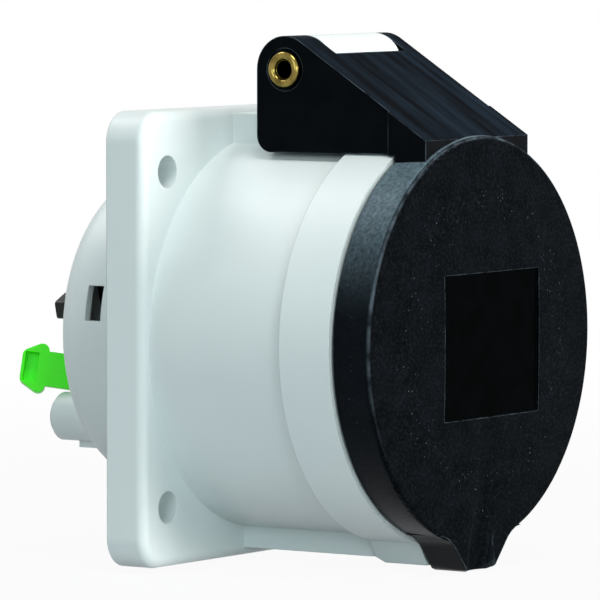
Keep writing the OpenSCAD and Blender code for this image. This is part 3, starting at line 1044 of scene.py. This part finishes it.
@dataclass
class Lid:
    """The sprung lid, whose one moulding has five finishes: an eroded face, textured
    sides, a drawn hinge arm with a streaked slope, and a polished label recess.

    Attributes:
        paint: Where its finishes come from.
        radius: Of its disc.
        face_depth: How far back the face, its dome and its recess reach.
        arm_half_width: Of the hinge arm, between its cheeks' outsides.
        arm_share: Share of the radius below which no part of the arm reaches.
        off_disc: Share of the radius at which a face no longer belongs to the disc.
        upright: Least sideways share of a cheek's direction.
        slope_up: Least upward share of the slope's direction.
        face_out: Least forward share of the direction of what belongs to the face.
        recess_low: Lower left corner of the label recess, in X and Z.
        recess_high: Its upper right corner.
        finishes: In the order of the material slots.
    """

    paint: Paintbox
    radius: float = 36.5 * MM
    face_depth: float = 2.6 * MM
    arm_half_width: float = 16.0 * MM
    arm_share: float = 0.7
    off_disc: float = 1.002
    upright: float = 0.99
    slope_up: float = 0.5
    face_out: float = 0.35
    recess_low: tuple[float, float] = (-13.65 * MM, -13.65 * MM)
    recess_high: tuple[float, float] = (17.65 * MM, 12.25 * MM)
    finishes: tuple[Finish, ...] = (
        Finish.LID_FACE,
        Finish.LID_SIDE,
        Finish.LID_SLOPE,
        Finish.LID_ARM,
        Finish.LID_RECESS,
    )

    def finish_of(self, centre: Vector, normal: Vector, front_y: float) -> Finish:
        """Picks the finish of one face of the moulding.

        Args:
            centre: Middle of the face.
            normal: Its direction.
            front_y: Where the lid's face is.

        Returns:
            The finish that the mould gives it.
        """
        off_axis = math.hypot(centre.x, centre.z)
        cheek = abs(normal.x) > self.upright and abs(centre.x) > self.arm_half_width
        on_arm = off_axis > self.radius * self.off_disc or cheek
        if on_arm and centre.z > self.radius * self.arm_share:
            return Finish.LID_SLOPE if normal.z > self.slope_up else Finish.LID_ARM
        in_front = centre.y < front_y + self.face_depth
        in_width = self.recess_low[0] < centre.x < self.recess_high[0]
        in_height = self.recess_low[1] < centre.z < self.recess_high[1]
        if in_front and in_width and in_height:
            return Finish.LID_RECESS
        if in_front and normal.y < -self.face_out:
            return Finish.LID_FACE
        return Finish.LID_SIDE

    def build(self) -> None:
        """Builds the dressed lid and lets it stand for the solid."""
        mesh = bpy.data.objects["lid"].data.copy()
        mesh.materials.clear()
        for finish in self.finishes:
            mesh.materials.append(self.paint.get(finish))
        work = bmesh.new()
        work.from_mesh(mesh)
        bmesh.ops.remove_doubles(work, verts=work.verts, dist=WELD)
        front_y = min(vert.co.y for vert in work.verts)
        for edge in work.edges:
            edge.smooth = edge.calc_face_angle(math.pi) < SHARP
        for face in work.faces:
            finish = self.finish_of(face.calc_center_median(), face.normal, front_y)
            face.material_index = self.finishes.index(finish)
            face.smooth = True
        work.to_mesh(mesh)
        work.free()
        piece = new_piece("lid_moulded", mesh)
        even = piece.modifiers.new("even", "WEIGHTED_NORMAL")
        even.keep_sharp = True
        baked(piece)
        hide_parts("lid")
        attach(piece, "cover")
        log.info("lid: %d faces", len(piece.data.polygons))


@dataclass
class Mouldings:
    """Pieces whose solids already have their shape: they get their finish only."""

    paint: Paintbox
    finishes: dict[str, Finish] = field(
        default_factory=lambda: {
            "flange_housing": Finish.HOUSING,
            "front_ring": Finish.HOUSING,
            "rear_body": Finish.HOUSING,
            "contact_insert": Finish.INSERT,
            "lid": Finish.LID_FACE,
            "lid_gasket": Finish.RUBBER,
            "flange_seal": Finish.RUBBER,
            "hinge_pin": Finish.PIN_BRASS,
            "cover_screws": Finish.STEEL,
        }
    )

    def build(self, nodes: dict[str, bpy.types.Object]) -> None:
        """Dresses every node of the frame.

        Args:
            nodes: The frame's nodes by name.
        """
        for name, obj in nodes.items():
            finish = self.finishes.get(name, self.by_kind(name))
            self.paint.dress(obj, finish)
            log.info("dressed %s as %s", name, finish.value.name)

    def by_kind(self, name: str) -> Finish:
        """Picks the finish of springs, rings, levers, straps and sleeves."""
        if "sleeve_ring" in name or "spring" in name:
            return Finish.STEEL
        if "lever" in name:
            return Finish.GREEN_LEVER if "earth" in name else Finish.BLACK_LEVER
        return Finish.CONTACT_BRASS


@dataclass(frozen=True)
class SoftLamp:
    """A square lamp: where it hangs and its side, in metres, and its power in watts."""

    name: str
    place: tuple[float, float, float]
    size: float
    power: float
    colour: str


@dataclass
class Studio:
    """Camera, soft lamps, pale floor and a world that is white behind the object."""

    azimuth_deg: float = -55.79
    elevation_deg: float = 3.83
    distance: float = 1116.8 * MM
    aim: tuple[float, float, float] = (-6.3 * MM, -20.4 * MM, 6.3 * MM)
    lens_mm: float = 372.0
    clip: tuple[float, float] = (0.05, 20.0)
    room_strength: float = 0.12
    room_colour: str = "EAF3F8"
    paper: str = "B4B8BC"
    floor_half: float = 6.0
    floor_gap: float = 0.4 * MM
    near_glow: float = 0.94
    glow_reach: tuple[float, float] = (0.06, 0.5)
    lamps: tuple[SoftLamp, ...] = (
        SoftLamp("key_above", (-0.15, -0.30, 0.75), 0.3, 3.0, "FFFBF7"),
        SoftLamp("face_side", (0.25, -0.90, 0.05), 0.45, 12.9, "FFFCF9"),
        SoftLamp("near_side", (-0.85, -0.25, 0.30), 0.5, 2.65, "E8F6F8"),
        SoftLamp("front_left", (-0.45, -0.85, 0.15), 0.3, 2.2, "E8F6F8"),
        SoftLamp("back_above", (-0.10, 0.50, 0.70), 0.3, 2.1, "FFFFFF"),
    )

    def build(self) -> None:
        """Builds the whole studio."""
        scene = bpy.context.scene
        scene.view_settings.view_transform = "Standard"
        self.camera(scene)
        self.world(scene)
        self.floor()
        for lamp in self.lamps:
            self.hang(lamp)
        log.info("studio: camera at %.1f degrees", self.azimuth_deg)

    def camera(self, scene: bpy.types.Scene) -> None:
        """Places the camera on its ray and points it at the aim.

        Args:
            scene: The scene that gets the camera.
        """
        a = math.radians(self.azimuth_deg)
        e = math.radians(self.elevation_deg)
        back = Vector((math.sin(a) * math.cos(e), -math.cos(a) * math.cos(e), math.sin(e)))
        data = bpy.data.cameras.new("camera")
        data.lens = self.lens_mm
        data.sensor_width = 36.0
        data.clip_start, data.clip_end = self.clip
        cam = bpy.data.objects.new("camera", data)
        cam.location = Vector(self.aim) + back * self.distance
        cam.rotation_euler = back.to_track_quat("Z", "Y").to_euler()
        scene.collection.objects.link(cam)
        scene.camera = cam

    def world(self, scene: bpy.types.Scene) -> None:
        """Lights the room softly and shows white to the camera and to mirrors."""
        world = bpy.data.worlds.new("room")
        scene.world = world
        world.use_nodes = True
        tree = world.node_tree
        tree.nodes.clear()
        soft = {"Color": linear(self.room_colour), "Strength": self.room_strength}
        room = add_node(tree, "ShaderNodeBackground", sockets=soft)
        bright = {"Color": grey(1.0), "Strength": 1.0}
        white = add_node(tree, "ShaderNodeBackground", sockets=bright)
        mix = add_node(
            tree,
            "ShaderNodeMixShader",
            sockets={0: self.seen(tree), 1: room.outputs[0], 2: white.outputs[0]},
        )
        add_node(tree, "ShaderNodeOutputWorld", sockets={"Surface": mix.outputs[0]})

    def seen(self, tree: bpy.types.NodeTree) -> bpy.types.NodeSocket:
        """Adds the test for what the camera, a mirror or a clear piece sees.

        Args:
            tree: The tree that gets the test.

        Returns:
            1 on such a ray and 0 on others.
        """
        path = add_node(tree, "ShaderNodeLightPath").outputs
        direct = calc(tree, "MAXIMUM", path["Is Camera Ray"], path["Is Transmission Ray"])
        return calc(tree, "MAXIMUM", direct, path["Is Glossy Ray"])

    def floor(self) -> None:
        """Lays a pale floor under the object."""
        low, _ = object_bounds()
        half = self.floor_half
        mesh = bpy.data.meshes.new("floor")
        z = low[2] - self.floor_gap
        corners = [(-half, -half, z), (half, -half, z), (half, half, z), (-half, half, z)]
        mesh.from_pydata(corners, [], [(0, 1, 2, 3)])
        floor = new_piece("floor", mesh)
        mat, tree = blank_material("floor_paper_white")
        paper = add_node(
            tree, "ShaderNodeBsdfDiffuse", sockets={"Color": linear(self.paper)}
        )
        bright = {"Color": grey(1.0), "Strength": 1.0}
        glow = add_node(tree, "ShaderNodeEmission", sockets=bright)
        # the paper turns into the white room half a metre away from the object
        away = add_node(
            tree, "ShaderNodeVectorMath", {"operation": "LENGTH"}, {0: object_place(tree)}
        ).outputs["Value"]
        far = span(tree, away, *self.glow_reach, (self.near_glow, 1.0), "SMOOTHSTEP")
        weight = calc(tree, "MULTIPLY", self.seen(tree), far)
        mix = add_node(
            tree,
            "ShaderNodeMixShader",
            sockets={0: weight, 1: paper.outputs[0], 2: glow.outputs[0]},
        )
        add_node(tree, "ShaderNodeOutputMaterial", sockets={"Surface": mix.outputs[0]})
        mesh.materials.append(mat)
        floor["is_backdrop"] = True

    def hang(self, lamp: SoftLamp) -> None:
        """Hangs a lamp and turns it to the object.

        Args:
            lamp: The lamp.
        """
        data = bpy.data.lights.new(lamp.name, "AREA")
        data.size = lamp.size
        data.energy = lamp.power
        data.color = linear(lamp.colour)[:3]
        obj = bpy.data.objects.new(lamp.name, data)
        obj.location = lamp.place
        towards = Vector(lamp.place) - Vector(self.aim)
        obj.rotation_euler = towards.to_track_quat("Z", "Y").to_euler()
        bpy.context.scene.collection.objects.link(obj)


def main() -> None:
    """Builds and dresses the socket, piece by piece."""
    logging.basicConfig(level=logging.INFO, format="%(name)s: %(message)s")
    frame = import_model()
    paint = Paintbox()
    Studio().build()
    Mouldings(paint).build(frame["nodes"])
    TerminalLevers(paint).build()
    Lid(paint).build()
    Hinge(paint).build()


if __name__ == "__main__":
    main()
